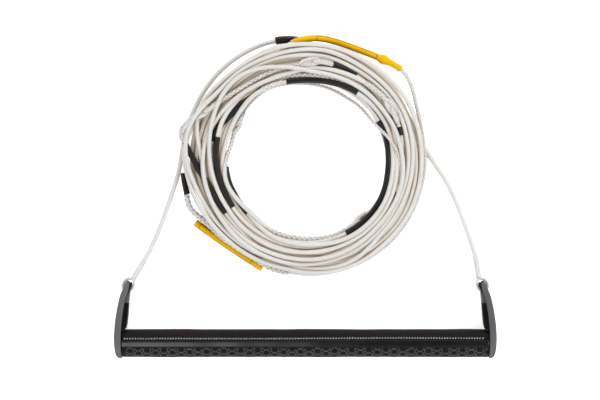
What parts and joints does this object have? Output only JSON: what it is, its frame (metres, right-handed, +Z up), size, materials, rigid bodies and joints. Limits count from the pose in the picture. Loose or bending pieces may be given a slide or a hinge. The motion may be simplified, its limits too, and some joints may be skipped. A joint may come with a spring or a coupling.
{
  "type": "tow rope handle",
  "caption": "Water-sports tow handle: a padded straight bar between two moulded arms, with a rope bridle through the arm tips and a coiled tow line.",
  "frame": {"origin": "on the surface that the handle lies on, under the middle of the stiff handle's box", "axes": "+X along the bar, +Y from the bar towards the rope, +Z up from the surface"},
  "size_m": [0.395, 0.3357, 0.032],
  "materials": {
    "tube_alloy": "satin",
    "float_foam": "matte",
    "grip_plain": "matte",
    "grip_pattern": "satin",
    "thread": "matte",
    "arm_moulding": "matte",
    "pad": "matte",
    "seal": "matte",
    "pin_steel": "satin",
    "rope_coated": "satin",
    "rope_braid": "matte",
    "sleeve_black": "satin",
    "sleeve_yellow": "satin"
  },
  "bodies": {
    "rope": {"bridle_apex_sleeve": "sleeve_black", "bridle_eye_left": "rope_coated", "bridle_eye_right": "rope_coated", "bridle_rope": "rope_coated", "joint_inner_left": "rope_braid", "joint_left": "rope_braid", "joint_lower_left": "rope_braid", "joint_lower_right": "rope_braid", "joint_right": "rope_braid", "joint_top": "rope_braid", "lead_label_sleeve": "sleeve_yellow", "lower_label_sleeve": "sleeve_yellow", "mainline_coil": "rope_coated", "mainline_lead": "rope_coated", "sleeve_left_diagonal": "sleeve_black", "sleeve_left_inner": "sleeve_black", "sleeve_left_middle": "sleeve_black", "sleeve_left_outer": "sleeve_black", "sleeve_right_inner": "sleeve_black", "sleeve_right_middle": "sleeve_black", "sleeve_top_inner": "sleeve_black", "sleeve_top_outer": "sleeve_black", "sleeve_top_right": "sleeve_black", "sleeve_upper_left": "sleeve_black", "tow_loop": "rope_braid"},
    "handle": {"arm_left": "arm_moulding", "arm_pad_left": "pad", "arm_pad_right": "pad", "arm_right": "arm_moulding", "core_tube": "tube_alloy", "cross_pin_left": "pin_steel", "cross_pin_right": "pin_steel", "float_core": "float_foam", "grip_panel_patterned": "grip_pattern", "grip_panel_plain": "grip_plain", "seam_thread_top": "thread", "seam_thread_under": "thread", "spigot_seal_left": "seal", "spigot_seal_right": "seal"}
  },
  "joints": [
    {"name": "handle_swing", "type": "hinge", "parent": "rope", "child": "handle", "pos_m": [0, 0.03075, 0.0095], "axis": [-1, 0, 0], "range_deg": [0, 100]}
  ]
}
